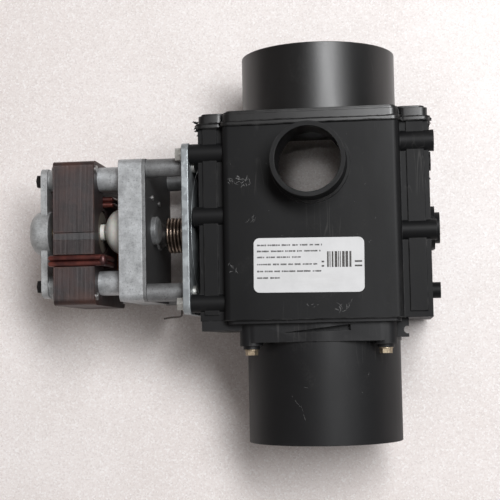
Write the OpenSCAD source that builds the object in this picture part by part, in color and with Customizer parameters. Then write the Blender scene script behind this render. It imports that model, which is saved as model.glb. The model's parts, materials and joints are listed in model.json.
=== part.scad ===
// Motor-driven ball-segment drain valve with a front overflow spigot, a geared
// shaded-pole actuator and a spring return. Millimetres.
// Frame: origin at the centre of the inlet spigot's mouth, +Y along the flow towards
// the outlet, +X away from the actuator, +Z out of the labelled face.
// Every piece is drawn about the stem axis at the middle of the box, then placed by at_stem().

/* [Valve body] */
// Distance from the inlet mouth to the stem axis
stem_y = 121; // [115:1:140]
// Half width and half depth of the square valve box
box_half = 49; // [49:0.5:52]
// Bottom of the box below the stem axis
box_below = 52; // [50:0.5:56]
// Top of the box above the stem axis
box_above = 55.9; // [55:0.1:57]
// Radius of the ball chamber bore
bore_r = 45; // [44.6:0.1:45.2]
// Outer edge of the wing on the actuator side
wing_near = 63.2; // [62:0.2:64]
// Outer edge of the wing on the far side
wing_far = 64.7; // [62:0.1:66]
// Half depth of the wings
wing_half = 41.5; // [40:0.5:43]

/* [Spigots] */
// Outside radius of the inlet spigot
inlet_r = 44.15; // [44:0.05:44.2]
// Outside radius of the outlet spigot
outlet_r = 44.7; // [44.65:0.05:44.75]
// Wall of the inlet and outlet spigots
spigot_wall = 4; // [3:0.5:5]
// End of the outlet spigot above the stem axis
outlet_end = 101.8; // [90:0.2:130]
// Sideways offset of the in-line spigots from the middle of the box
spigot_x = 2.3; // [0:0.1:2.5]
// Outside radius of the overflow spigot
overflow_r = 20.4; // [17:0.2:20.4]
// Wall of the overflow spigot
overflow_wall = 2.6; // [2:0.2:3.4]
// Overflow spigot's mouth above the stem axis plane
overflow_top = 68; // [62:1:80]
// Overflow spigot's offset along the flow axis
overflow_y = 33; // [30:0.2:33]

/* [Ball segment] */
// Outside radius of the closing segment
ball_r = 41; // [40:0.5:41]
// Wall of the closing segment
ball_wall = 4.5; // [4:0.5:5]

/* [Actuator] */
// Half height of the mounting plate
plate_half_y = 48; // [47:0.5:49]
// Half depth of the mounting plate
plate_half_z = 46; // [45:0.5:47]
// Thickness of the mounting plate
plate_thick = 4; // [3.5:0.5:4]
// Half height of the gear case
case_half_y = 40.5; // [40:0.5:42]
// Half depth of the gear case
case_half_z = 38; // [37:0.5:40]
// Wall of the gear case
case_wall = 1.6; // [1.4:0.1:1.7]
// Rotor axis offset from the stem axis along Y
rotor_y = 1.7; // [1.5:0.1:2]
// Rotor axis offset from the stem axis along Z
rotor_z = 16; // [15.5:0.1:16.5]

/* [Gears] */
// Gear module
gear_module = 0.8; // [0.8:0.01:0.81]
// Teeth on each pinion
pinion_teeth = 12; // [12:1:12]
// Teeth on each wheel
wheel_teeth = 36; // [36:1:36]
// Pressure angle
pressure_angle = 25; // [24:0.5:26]
// Tooth thinning at the pitch circle for backlash
thinning = 0.24; // [0.2:0.02:0.3]

/* [Return spring] */
// Mean radius of the coil
coil_r = 9.6; // [9:0.1:10]
// Wire radius
wire_r = 0.9; // [0.8:0.1:0.9]
// Turns in the coil
coil_turns = 6; // [5:1:6]

/* [Hidden] */
$fn = 64;
eps = 0.01;

// Actuator faces along X: x0 lies away from the valve, x1 towards it
plate_x1 = -68.3;
plate_x0 = plate_x1 - plate_thick;
case_x0 = -110;
case_x1 = -96.5;
cover_x1 = -94.4;
stack_x0 = -148;
stack_x1 = -124;
bracket_x0 = -159.3;

// Screw places, [y, z] except for the adapter
bolt_z = 39.6;
bolt_places = [for (y = [42, -42], z = [bolt_z, -bolt_z]) [y, z]];
post_places = [for (y = [36, -35], z = [32.2, -32.2]) [y, z]];
rivet_places = [for (y = [36.3, -36.3], z = [34.3, -34.3]) [y, z]];
motor_screw_places = [for (y = [31, -31]) [rotor_y + y, rotor_z]];
adapter_x = 1.5;                   // sideways offset of the adapter's flange and screws
adapter_screw_places = [for (x = [-37, 37], z = [-37, 37]) [x + adapter_x, z]];   // [x, z]

// Shaft and pin radii
stem_r = 4;
trunnion_r = 5;
axle_r = 1.5;
rotor_shaft_r = 1.6;
screw_r = 2;                       // plate bolts and adapter screws
small_screw_r = 1.8;               // cover and motor screws
rivet_r = 1.4;
running_gap = 0.04;                // radial gap round a turning shaft

// Colours shared by several pieces
body_black = [0.07, 0.07, 0.075];
rubber = [0.03, 0.03, 0.03];
axle_steel = [0.7, 0.7, 0.7];
idler_cream = [0.85, 0.84, 0.8];
rotor_cream = [0.9, 0.9, 0.87];

// ---- helpers ----
// Places children on the stem axis, at the middle of the box.
module at_stem() { translate([-spigot_x, stem_y, 0]) children(); }
// Cylinder along X between x0 and x1 at [y, z].
module rod_x(x0, x1, r, at = [0, 0], fn = 64)
  translate([min(x0, x1), at[0], at[1]]) rotate([0, 90, 0])
    cylinder(r = r, h = abs(x1 - x0), $fn = fn);
// The same cylinder at each [y, z] of a list.
module rods_x(x0, x1, r, places, fn = 64) for (p = places) rod_x(x0, x1, r, p, fn);
// Cylinder along +Y from y0 to y1 at [x, z].
module rod_y(y0, y1, r, at = [0, 0], fn = 64)
  translate([at[0], y1, at[1]]) rotate([90, 0, 0]) cylinder(r = r, h = y1 - y0, $fn = fn);
// Box between any two opposite corners.
module block(a, b)
  translate([for (i = [0:2]) min(a[i], b[i])]) cube([for (i = [0:2]) abs(b[i] - a[i])]);
// Outline of a rectangle with rounded corners, six steps to a corner.
function rounded_rect(x0, y0, x1, y1, r) = [
  for (quarter = [0:3], i = [0:6])
    let (t = 90 * quarter + 90 * i / 6,
      x = quarter == 0 || quarter == 3 ? x1 - r : x0 + r,
      y = quarter < 2 ? y1 - r : y0 + r)
    [x + r * cos(t), y + r * sin(t)]];
// Prism along +Y of an outline given in (x, z).
module prism_y(y0, y1, outline)
  translate([0, y1, 0]) rotate([90, 0, 0]) linear_extrude(y1 - y0) polygon(outline);
// Prism along +X of an outline given in (y, z).
module prism_x(x0, x1, outline)
  translate([x0, 0, 0]) rotate([90, 0, 90]) linear_extrude(x1 - x0) polygon(outline);
// Spins a section of (radius, distance towards -Y) round the Y axis.
module spin_y(y) translate([0, y, 0]) rotate([90, 0, 0]) rotate_extrude($fn = 96) children();
// Round section of a ring.
module cord(ring_r, cord_r) translate([ring_r, 0]) circle(r = cord_r, $fn = 24);
// Dome on the rotor axis, from a profile of [radius, height towards -X].
module rotor_dome(x, profile)
  translate([x, rotor_y, rotor_z]) rotate([0, -90, 0]) rotate_extrude($fn = 64) polygon(profile);

// ---- valve ----
cap_flange_y = box_above + 2;      // top of the cap's rim
chamber_r = 33.2;                  // waterway through the adapter and the seat
seat_r = 41;
seat_y0 = -31;
seat_y1 = -25;
seal_y = -48;
flange_y = -64.4;                  // underside of the adapter's flange
adapter_head_y = -68;              // where the adapter screws' heads bear
stem_bush_r = 8;
stem_bush_x1 = -48.5;
cut_z = wing_half - 3;             // half depth of the wing hollows
wing_skin = 2.4;
wings = [[-1, wing_near], [1, wing_far]];   // [side along X, outer edge]

// Bosses on the wings: [x0, x1, radius, [y, z]]
wing_bosses = [
  [plate_x1 + 2, -box_half + 2, 5.4, [6.6, -bolt_z]],
  [plate_x1 + 2, -box_half + 2, 5.4, [6.6, bolt_z]],
  [box_half - 2, wing_far + 2.9, 5.9, [44.7, -39.4]],
  [box_half - 2, wing_far + 2.9, 5.9, [44.7, 39.4]],
  [box_half - 2, wing_far + 3.2, 5.7, [-4.4, -39.4]],
  [box_half - 2, wing_far + 3.2, 5.7, [-4.4, 39.4]],
  [box_half - 1, wing_far + 3, 12.5, [0, 0]],
  [wing_far - 2, wing_far + 5.9, 9, [0, 0]],
  [wing_far - 2, wing_far + 5.9, 4.7, [-35.5, -12]],
  [-wing_near - 0.5, -box_half + 1, 15, [0, 0]]];

// Steps of the cap over the box: [y0, y1, growth of the outline, corner radius]
cap_steps = [
  [box_above, cap_flange_y, 1, 5],
  [cap_flange_y - eps, 62.2, -0.1, 5],
  [62.2 - eps, 63.4, -0.7, 4.6],
  [63.4 - eps, 64.2, -1.9, 3.8]];

// Steps of the cap over the wings:
// [y0, y1, growth in z, [x range, actuator side], [x range, far side]]
wing_cap_steps = [
  [box_above, cap_flange_y, 2.4,
    [-wing_near - 1, -box_half + 1], [box_half - 1, wing_far + 1]],
  [cap_flange_y - eps, 62.8, 1.6,
    [-wing_near + 0.2, -box_half + 1], [box_half - 1, wing_far - 0.2]],
  [62.8 - eps, 64, 0.4,
    [-wing_near + 1.6, -box_half + 1], [box_half - 2.4, wing_far - 1.8]]];

// Box outline grown by a margin.
function box_outline(grow, r = 4) =
  rounded_rect(-box_half - grow, -box_half - grow, box_half + grow, box_half + grow, r);
// Rounded opening through the -Z side of the box and the cap.
module back_opening() translate([0, 29, -box_half - 2]) linear_extrude(box_half)
  polygon(rounded_rect(-27, -33, 27, 33, 9));
// Block in a wing, from inset beyond the box's side to trim short of the wing's edge.
module wing_block(wing, inset, trim, y0, y1, z0, z1)
  block([wing[0] * (box_half + inset), y0, z0], [wing[0] * (wing[1] - trim), y1, z1]);
// Wing with a raised panel on each face.
module wing_solid(wing) {
  wing_block(wing, -1, 0, -box_below, box_above, -wing_half, wing_half);
  for (f = [-1, 1])
    wing_block(wing, 3.6, 2.7, -box_below + 3.4, box_above - eps, f * 40, f * (wing_half + 1.2));
}
// Cutter that bevels a spigot's bore at its mouth, from z0 to z1 along Y.
module mouth_bevel(y, inner_r, z0, z1)
  translate([spigot_x, y, 0]) rotate([-90, 0, 0]) rotate_extrude($fn = 96) polygon([
    [inner_r - 0.5, z0], [inner_r + 0.8, z0], [inner_r, z1], [inner_r - 0.5, z1]]);

module valve_body() color(body_black) at_stem() difference() {
  union() {
    difference() {
      union() {
        prism_y(-box_below, box_above, box_outline(0));
        for (w = wings) wing_solid(w);
      }
      // wing hollows, open towards the cap
      for (w = wings)
        wing_block(w, 0.5, wing_skin, -box_below + 3, box_above + 1, -cut_z, cut_z);
    }
    for (p = bolt_places) rod_x(plate_x1, -box_half + 2, p[0] > 0 ? 5.6 : 5.2, p);
    for (b = wing_bosses) rod_x(b[0], b[1], b[2], b[3]);
    translate([0, overflow_y, box_half - 2]) {
      cylinder(r = overflow_r, h = overflow_top - box_half + 2);
      cylinder(r = overflow_r + 1.6, h = 3.4);
    }
  }
  rod_y(-box_below - 1, box_above + 1, bore_r, fn = 96);
  translate([0, overflow_y, 0]) cylinder(r = overflow_r - overflow_wall, h = overflow_top + 1);
  back_opening();
  rod_x(-80, -40, stem_bush_r);
  rod_x(40, 62, trunnion_r + 0.03);
  rods_x(-80, -56, screw_r, bolt_places);
  for (p = adapter_screw_places) rod_y(-box_below - 1, -36, screw_r, p);
}
module outlet_cap() color(body_black) at_stem() difference() {
  union() {
    for (s = cap_steps) prism_y(s[0], s[1], box_outline(s[2], s[3]));
    for (s = wing_cap_steps, x = [s[3], s[4]])
      prism_y(s[0], s[1], rounded_rect(x[0], -wing_half - s[2], x[1], wing_half + s[2], 4));
    rod_y(box_above, outlet_end, outlet_r, [spigot_x, 0], 96);
  }
  rod_y(50, outlet_end + 1, outlet_r - spigot_wall, [spigot_x, 0], 96);
  // recess over the chamber and over each wing
  rod_y(50, 61.2, bore_r + 0.6, fn = 96);
  for (w = wings) wing_block(w, 1.5, wing_skin, 50, 60.5, -cut_z, cut_z);
  back_opening();
  mouth_bevel(outlet_end + eps, outlet_r - spigot_wall, 0, -0.8);
}
module inlet_adapter() color(body_black) at_stem() difference() {
  union() {
    prism_y(-box_below - 2, -box_below, box_outline(-1.6));
    prism_y(flange_y, -box_below - 2 + eps,
      rounded_rect(-42 + adapter_x, -44, 42 + adapter_x, 44, 8));
    rod_y(flange_y, -box_below - 2 + eps, inlet_r + 0.6, [spigot_x, 0], 96);
    for (p = adapter_screw_places) {
      rod_y(-66.2, -box_below - 1, 6.4, p);
      rod_y(adapter_head_y, -66, 4.6, p);
    }
    // ledge under the wing on the actuator side
    block([-62.5, -57.5, -wing_half], [-40, -box_below, wing_half]);
    // lug, notched by a round hole below
    block([40, -62.6, 18], [51.3, -box_below, 34]);
    rod_y(-stem_y, -64, inlet_r, [spigot_x, 0], 96);
    rod_y(-box_below - 1, seat_y1, bore_r - 0.1, fn = 96);
  }
  rod_y(seat_y0, -20, seat_r, fn = 96);
  rod_y(-stem_y - 1, -20, chamber_r, fn = 96);
  rod_y(-stem_y - 1, -61, inlet_r - spigot_wall, [spigot_x, 0], 96);
  mouth_bevel(-stem_y, inlet_r - spigot_wall, -eps, 0.8);
  for (p = adapter_screw_places) rod_y(-75, -45, screw_r + 0.2, p);
  translate([50.6, -58.6, 10]) cylinder(r = 2.1, h = 30);
  // sloping slot across the +Z side of the flange
  translate([0, 0, 40.5]) linear_extrude(6)
    polygon([[-17, -59.2], [19.7, -55.2], [19.7, -58.4]]);
  spin_y(seal_y) cord(bore_r, 1.1);
}
// Ring in the adapter's groove, cut flush with the chamber bore.
module adapter_seal() color(rubber) at_stem() spin_y(seal_y) difference() {
  cord(bore_r, 1.1);
  translate([bore_r, -3]) square([4, 6]);
}
module valve_seat() color([0.12, 0.12, 0.12]) at_stem() difference() {
  rod_y(seat_y0, seat_y1, seat_r, fn = 96);
  rod_y(-32, -20, chamber_r, fn = 96);
  spin_y(seat_y1) cord(37.6, 0.8);
}
module ball_segment() color([0.78, 0.76, 0.7]) at_stem() difference() {
  union() {
    difference() {
      sphere(r = ball_r, $fn = 96);
      sphere(r = ball_r - ball_wall, $fn = 96);
      block([-60, -12, -60], [60, 60, 60]);
    }
    // round ear and web on each side
    for (s = [-1, 1]) {
      rod_x(s * 34.6, s * 40.4, 12);
      block([s * 34.6, -16, -11], [s * 40.4, 0, 11]);
    }
  }
  rod_x(-50, 0, stem_r);
  rod_x(0, 50, trunnion_r);
}
module trunnion_pin() color([0.6, 0.6, 0.6]) at_stem() rod_x(36, 61.5, trunnion_r);
// Sleeve between the stem and its bore in the body.
module stem_sleeve(x0, x1) difference() {
  rod_x(x0, x1, stem_bush_r);
  rod_x(-80, -40, stem_r + running_gap);
}
module stem_bushing() color([0.8, 0.78, 0.7]) at_stem() stem_sleeve(-67.3, stem_bush_x1);
module stem_seal() color(rubber) at_stem() stem_sleeve(stem_bush_x1, -45.2);
module adapter_screws() color([0.7, 0.55, 0.35]) at_stem()
  for (p = adapter_screw_places) union() {
    rod_y(adapter_head_y, -38, screw_r, p);
    rod_y(adapter_head_y - 3.3, adapter_head_y, 3.5, p, 6);
    rod_y(adapter_head_y - 0.7, adapter_head_y, 3.9, p);
  }
module label_plate() color([0.9, 0.9, 0.9]) at_stem()
  translate([-1.5, -22.3, box_half]) rotate([0, 0, -0.8]) linear_extrude(0.3)
    polygon(rounded_rect(-30.6, -15.3, 29.8, 14.6, 3.2));

// ---- mounting plate ----
// Dished disc between the plate and the body: [radius, height towards +X]
disc_profile = [[9, 0], [38.5, 0], [36.5, 0.9], [31, 1.9], [24, 2.5], [9, 2.8]];

module backing_disc() color([0.5, 0.5, 0.52]) at_stem() translate([plate_x1, 0, 0])
  rotate([0, 90, 0]) rotate_extrude($fn = 96) polygon(disc_profile);
module mounting_plate() color([0.62, 0.63, 0.63]) at_stem() difference() {
  prism_x(plate_x0, plate_x1,
    rounded_rect(-plate_half_y, -plate_half_z, plate_half_y, plate_half_z, 5));
  rod_x(-80, -60, 9);
  rods_x(-80, -60, screw_r + 0.2, bolt_places);
  rods_x(-80, -60, 2.1, post_places);
}
module plate_bolts() color([0.75, 0.75, 0.73]) at_stem()
  for (p = bolt_places) union() {
    rod_x(plate_x0, -57, screw_r, p);
    rod_x(plate_x0 - 3.9, plate_x0, 3.9, p, 6);
    rod_x(plate_x0 - 1, plate_x0, 4.1, p);
  }

// ---- gear train ----
// Axes as [y, z]. The drive runs rotor, idler A, idler B, output, all at one centre distance.
centre_dist = gear_module * (pinion_teeth + wheel_teeth) / 2;
output_at = [0, 0];
rotor_at = [rotor_y, rotor_z];
idler_b_at = centre_dist * [cos(3), -sin(3)];
rotor_to_b = idler_b_at - rotor_at;
rotor_to_b_dir = rotor_to_b / norm(rotor_to_b);
idler_a_rise = sqrt(centre_dist * centre_dist - pow(norm(rotor_to_b) / 2, 2));
idler_a_at = (rotor_at + idler_b_at) / 2 + idler_a_rise * [-rotor_to_b_dir[1], rotor_to_b_dir[0]];
idler_places = [idler_a_at, idler_b_at];
layer_x = [-108.2, -104.8, -101.4];   // start of the three gear layers along X
face_width = 3;

function involute(angle) = tan(angle) - angle * PI / 180;
// Half angle of a tooth at radius r.
function tooth_half_angle(r, pitch_r, base_r, teeth) =
  90 / teeth - thinning / 2 / pitch_r * 180 / PI
  + (involute(pressure_angle) - involute(acos(min(1, base_r / max(r, base_r))))) * 180 / PI;
// Gear outline; each tooth is worked out as [radius, angle] points.
function gear_outline(teeth) =
  let (pitch_r = gear_module * teeth / 2,
    base_r = pitch_r * cos(pressure_angle),
    tip_r = pitch_r + 0.85 * gear_module,
    root_r = pitch_r - 1.1 * gear_module,
    start_r = max(base_r, root_r),
    root_angle = tooth_half_angle(start_r, pitch_r, base_r, teeth),
    flank = [for (j = [0:4]) let (r = start_r + (tip_r - start_r) * j / 4)
      [r, tooth_half_angle(r, pitch_r, base_r, teeth)]],
    tooth = concat(
      [[root_r, -root_angle]],
      [for (p = flank) [p[0], -p[1]]],
      [for (j = [4:-1:0]) flank[j]],
      [[root_r, root_angle]]))
  [for (i = [0:teeth - 1], p = tooth) let (a = 360 * i / teeth + p[1])
    [p[0] * cos(a), p[0] * sin(a)]];
// Direction from one axis to another.
function heading(from, to) = atan2(to[1] - from[1], to[0] - from[0]);
// Spur gear along X at [y, z], one tooth at the given angle.
module spur(x0, width, teeth, at, angle)
  translate([x0, at[0], at[1]]) rotate([90, 0, 90]) rotate([0, 0, angle])
    linear_extrude(width) polygon(gear_outline(teeth));
// Wheel with a gap between teeth facing the pinion that drives it.
module wheel(layer, at, driver)
  spur(layer_x[layer], face_width, wheel_teeth, at, heading(at, driver) + 180 / wheel_teeth);
// Idler: wheel in one layer, pinion in the next.
module idler_gear(layer, at, driver, driven) difference() {
  union() {
    wheel(layer, at, driver);
    spur(layer_x[layer + 1] - 0.5, face_width + 0.3, pinion_teeth, at, heading(at, driven));
  }
  rod_x(-115, -90, axle_r + running_gap, at);
}
module idler_axle(at) rod_x(case_x0, cover_x1 + 0.8, axle_r, at);

module idler_axle_a() color(axle_steel) at_stem() idler_axle(idler_a_at);
module idler_axle_b() color(axle_steel) at_stem() idler_axle(idler_b_at);
module idler_gear_a() color(idler_cream) at_stem()
  idler_gear(0, idler_a_at, rotor_at, idler_b_at);
module idler_gear_b() color(idler_cream) at_stem()
  idler_gear(1, idler_b_at, idler_a_at, output_at);
module output_gear() color([0.72, 0.6, 0.35]) at_stem() difference() {
  union() {
    wheel(2, output_at, idler_b_at);
    rod_x(layer_x[2] + face_width - eps, case_x1 - 0.3, 7);
  }
  rod_x(-115, -90, stem_r);
}
module output_shaft() color([0.72, 0.72, 0.72]) at_stem() rod_x(layer_x[2], -36, stem_r);
module output_bushing() color([0.72, 0.6, 0.35]) at_stem() difference() {
  union() {
    rod_x(case_x1, cover_x1 + 1.2, 6);
    rod_x(cover_x1 + 1.2, cover_x1 + 2, 7.6);
  }
  rod_x(-115, -80, stem_r + running_gap);
}

// ---- gear case ----
case_mid_y = 0.9;                  // middle of the gear case along Y
cover_boss_x = cover_x1 + 2.6;     // top of the straight part of the boss on the rotor axis

// Gear case outline, drawn in by an inset.
function case_outline(inset, r) = rounded_rect(
  case_mid_y - case_half_y + inset, -case_half_z + inset,
  case_mid_y + case_half_y - inset, case_half_z - inset, r);

module gear_case() color([0.62, 0.63, 0.62]) at_stem() difference() {
  union() {
    prism_x(case_x0, case_x1, case_outline(0, 4));
    // lugs that carry the motor
    for (p = motor_screw_places) hull()
      for (z = [p[1], p[1] + 8]) rod_x(stack_x1, case_x0 + 1, 6.9, [p[0] * 0.97, z]);
  }
  difference() {
    prism_x(case_x0 + case_wall, case_x1 + 1, case_outline(case_wall, 3));
    // corner pillars that take the cover screws, and the idler bosses
    rods_x(case_x0, case_x1 + 2, 4.4, post_places);
    rods_x(case_x0, layer_x[0] - 0.1, 4, idler_places);
  }
  rod_x(-120, -100, 2.6, rotor_at);
  rods_x(-112, -100, axle_r, idler_places);
  rods_x(-130, -111, small_screw_r, motor_screw_places);
  rods_x(-108, -80, small_screw_r, post_places);
}
module gear_cover() color([0.5, 0.5, 0.5]) at_stem() difference() {
  union() {
    prism_x(case_x1, cover_x1, case_outline(0, 4));
    rods_x(case_x1, plate_x0, 5.2, post_places);
    rod_x(case_x1, cover_boss_x, 8.2, rotor_at);
    translate([cover_boss_x, rotor_y, rotor_z]) rotate([0, 90, 0])
      cylinder(r1 = 8.2, r2 = 6.6, h = 1.2);
    rod_x(case_x1, cover_x1 + 1.2, 8.4);
  }
  rod_x(-100, -80, 6);
  rods_x(-100, -90, axle_r, idler_places);
  rods_x(-100, -70, small_screw_r, post_places);
  // collar groove on one post where the spring hooks on
  difference() {
    rod_x(-79.5, -76.5, 7, post_places[1]);
    rod_x(-80, -76, 4.1, post_places[1]);
  }
}
// Screws through the posts, with slotted heads on the valve side of the plate.
module cover_screws() color([0.7, 0.7, 0.68]) at_stem()
  for (p = post_places) union() {
    rod_x(-106, plate_x1, small_screw_r, p);
    difference() {
      rod_x(plate_x1, plate_x1 + 1.6, 3.4, p);
      block([plate_x1 + 0.8, p[0] - 3.5, p[1] - 0.4], [plate_x1 + 2, p[0] + 3.5, p[1] + 0.4]);
    }
  }

// ---- return spring ----
coil_x0 = -87.4;
coil_x1 = -74.9;
turn_steps = 18;                   // steps in one turn
wire_sides = 8;
coil_steps = coil_turns * turn_steps;

// Points round the wire at step i of the coil.
function wire_ring(i) =
  let (a = 90 + 360 * i / turn_steps,
    centre = [coil_x0 + (coil_x1 - coil_x0) * (i / coil_steps), coil_r * cos(a), coil_r * sin(a)])
  [for (k = [0:wire_sides - 1]) let (b = 360 * k / wire_sides)
    centre + wire_r * [sin(b), cos(b) * cos(a), cos(b) * sin(a)]];
// Index of point k on ring i, wrapping round the wire.
function wire_point(i, k) = i * wire_sides + k % wire_sides;

module spring_hub() color([0.35, 0.35, 0.35]) at_stem() difference() {
  union() {
    rod_x(cover_x1 + 2.4, -73.5, 6.8);
    rod_x(cover_x1 + 2.4, cover_x1 + 4, 7.6);
  }
  rod_x(-100, -70, stem_r);
  // slot that takes the spring's inner end
  block([-89.4, 5, -1.1], [-86, 8, 1.1]);
}
module return_spring() color([0.25, 0.22, 0.2]) at_stem() polyhedron(
  points = [for (i = [0:coil_steps]) each wire_ring(i)],
  faces = concat(
    [[for (k = [0:wire_sides - 1]) k]],
    [[for (k = [wire_sides - 1:-1:0]) wire_point(coil_steps, k)]],
    [for (i = [0:coil_steps - 1], k = [0:wire_sides - 1])
      [wire_point(i, k), wire_point(i + 1, k), wire_point(i + 1, k + 1), wire_point(i, k + 1)]]));
// Bent wire with a rounded elbow.
module retaining_wire() color([0.2, 0.18, 0.17]) at_stem() union() {
  rod_y(-49.6, -45.38, 0.5, [-74, 39], 16);
  translate([-74, -49.6, 39]) sphere(r = 0.5, $fn = 16);
  rod_x(-84.4, -74, 0.5, [-49.6, 39], 16);
}

// ---- motor ----
ring_wire_r = 1.55;
// Shading ring pairs: [[y of each ring], z of one leg, z of the other]
ring_pairs = [[[-14.3, -17.6], 15.2, 37.5], [[17.8, 21.1], -15.2, 15.2]];
winding_half = 19.4;               // half width of the winding, between the bobbin's flanges
bobbin_half = 20.8;
tube_grow = 1.4;                   // bobbin tube beyond each face of the stack
tube_z = [-39.4, -23.6];
housing_r = 13;                    // both rotor bearing housings

// Cuts through the stack: [y0, y1, z0, z1]
stack_cuts = [
  [rotor_y - 1.2, rotor_y + 1.2, -24, 6],   // slot from the rotor bore
  [-21, 21, -25, -17],                      // coil window
  [-19.4, -12.4, 35.8, 39],                 // shading slots
  [-19.4, -12.4, 13.4, 17],
  [15.9, 23, 13.4, 17],
  [15.9, 23, -18, -13.4],
  [-0.2, 0.2, 36.8, 39],                    // joint lines of the lamination halves
  [-4.3, -4.1, 37.5, 39]];

// Domes over the rotor bearings: [radius, height]
cap_profile = [[0, 0], [13, 0], [12.7, 1.8], [11.9, 3.6], [10.4, 5.4], [8.2, 7], [5.6, 8.2],
  [3.4, 8.8], [0, 8.8]];
bracket_profile = [[0, 0], [13, 0], [12.9, 1.6], [12.3, 3.4], [10.8, 5.1], [8.4, 6.5],
  [5.2, 7.3], [2.2, 7.5], [1.6, 8.3], [0, 8.5]];

// Block that passes both faces of the stack by grow.
module stack_block(grow, half_y, z0, z1)
  block([stack_x0 - grow, -half_y, z0], [stack_x1 + grow, half_y, z1]);
// Closed rectangular loop of round wire with legs along X.
module shading_ring(y, z0, z1, x0, x1) {
  for (z = [z0, z1]) rod_x(x0, x1, ring_wire_r, [y, z], 24);
  for (x = [x0, x1]) {
    translate([x, y, z0]) cylinder(r = ring_wire_r, h = z1 - z0, $fn = 24);
    for (z = [z0, z1]) translate([x, y, z]) sphere(r = ring_wire_r, $fn = 24);
  }
}

module lamination_stack() color([0.2, 0.14, 0.13]) at_stem() difference() {
  prism_x(stack_x0, stack_x1, rounded_rect(-41.2, -38, 41.2, 38, 3.5));
  rod_x(-160, -118, 12.7, rotor_at);
  for (c = stack_cuts) block([-160, c[0], c[2]], [-118, c[1], c[3]]);
  rods_x(-160, -118, 1.9, motor_screw_places);
  rods_x(-160, -118, rivet_r, rivet_places);
}
module stack_rivets() color([0.6, 0.6, 0.6]) at_stem()
  for (p = rivet_places) union() {
    rod_x(stack_x0 - 1, stack_x1 + 1, rivet_r, p);
    rod_x(stack_x0 - 1, stack_x0, 2.2, p);
    rod_x(stack_x1, stack_x1 + 1, 2.2, p);
  }
module shading_rings() color([0.42, 0.16, 0.12]) at_stem() union() {
  for (pair = ring_pairs, y = pair[0])
    shading_ring(y, pair[1], pair[2], stack_x0 - 1.7, stack_x1 + 4.6);
}
module coil_bobbin() color([0.85, 0.78, 0.62]) at_stem() difference() {
  union() {
    stack_block(tube_grow, bobbin_half, tube_z[0], tube_z[1]);
    for (s = [-1, 1])
      block([stack_x0 - 7.5, s * winding_half, -45.6], [stack_x1 + 7.5, s * bobbin_half, -17.2]);
  }
  stack_block(0.05, 30, -38.05, -24.95);
}
module coil_winding() color([0.5, 0.22, 0.14]) at_stem() difference() {
  stack_block(6.6, winding_half, -44.8, -18);
  stack_block(tube_grow, 30, tube_z[0], tube_z[1]);
}
module rotor_core() color([0.45, 0.45, 0.46]) at_stem() difference() {
  rod_x(-148.5, -124.8, 12.1, rotor_at);
  rod_x(-128.2, -120, 5.6, rotor_at);
  rod_x(-160, -120, rotor_shaft_r, rotor_at);
}
module rotor_shaft() color([0.75, 0.75, 0.75]) at_stem()
  rod_x(-162.6, -105.4, rotor_shaft_r, rotor_at);
module motor_pinion() color(rotor_cream) at_stem() difference() {
  spur(layer_x[0], face_width - 0.2, pinion_teeth, rotor_at, heading(rotor_at, idler_a_at));
  rod_x(-115, -100, rotor_shaft_r, rotor_at);
}
module shaft_collar() color(rotor_cream) at_stem() difference() {
  rod_x(-128.2, -122.8, 4.7, rotor_at);
  rod_x(-130, -100, rotor_shaft_r, rotor_at);
}
module nylon_bearing_cap() color([0.9, 0.9, 0.88]) at_stem() difference() {
  union() {
    rod_x(-113.4, case_x0, housing_r, rotor_at);
    rotor_dome(-113.4, cap_profile);
    rod_x(case_x0, -108.6, 2.6, rotor_at);
  }
  rod_x(-130, -100, 1.65, rotor_at);
}
module bearing_bracket() color([0.6, 0.61, 0.6]) at_stem() difference() {
  union() {
    prism_x(bracket_x0, -155.5,
      rounded_rect(rotor_y - 37.9, rotor_z - 8, rotor_y + 37.9, rotor_z + 8, 5));
    rods_x(-155.6, stack_x0, 6.4, motor_screw_places);
    rod_x(bracket_x0, -154, housing_r, rotor_at);
    rotor_dome(bracket_x0, bracket_profile);
  }
  rod_x(-162.8, -150, 3.4, rotor_at);
  rods_x(-175, -140, 1.9, motor_screw_places);
}
module rear_bush() color([0.72, 0.55, 0.3]) at_stem() difference() {
  rod_x(-162.7, -154, 3.4, rotor_at);
  rod_x(-175, -140, rotor_shaft_r + running_gap, rotor_at);
}
// Long screws with a washer and a slotted hexagon head.
module motor_screws() color([0.15, 0.15, 0.15]) at_stem()
  for (p = motor_screw_places) union() {
    rod_x(bracket_x0, -112, small_screw_r, p);
    rod_x(-160.2, bracket_x0, 4.6, p);
    difference() {
      rod_x(-163.2, -160.2, 4, p, 6);
      block([-164, p[0] - 5, p[1] - 0.4], [-162.2, p[0] + 5, p[1] + 0.4]);
    }
  }

valve_body();
outlet_cap();
inlet_adapter();
adapter_seal();
valve_seat();
ball_segment();
trunnion_pin();
stem_bushing();
stem_seal();
adapter_screws();
label_plate();
backing_disc();
mounting_plate();
plate_bolts();
gear_case();
gear_cover();
cover_screws();
idler_axle_a();
idler_axle_b();
idler_gear_a();
idler_gear_b();
output_gear();
output_shaft();
output_bushing();
spring_hub();
return_spring();
retaining_wire();
lamination_stack();
stack_rivets();
shading_rings();
coil_bobbin();
coil_winding();
rotor_core();
rotor_shaft();
motor_pinion();
shaft_collar();
nylon_bearing_cap();
bearing_bracket();
rear_bush();
motor_screws();
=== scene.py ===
"""Motor-driven valve with a spring return, lying on a speckled floor.

The row frame is in metres with +Z up. The valve tube runs along Y. The stem and the
return spring run along X at the height z = 0. The lid edge lies at the +Y end.
Places given through at() are in mm from the stem axis.
"""
import bpy, bmesh, json, math, random
from mathutils import Vector, Matrix, noise


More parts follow.
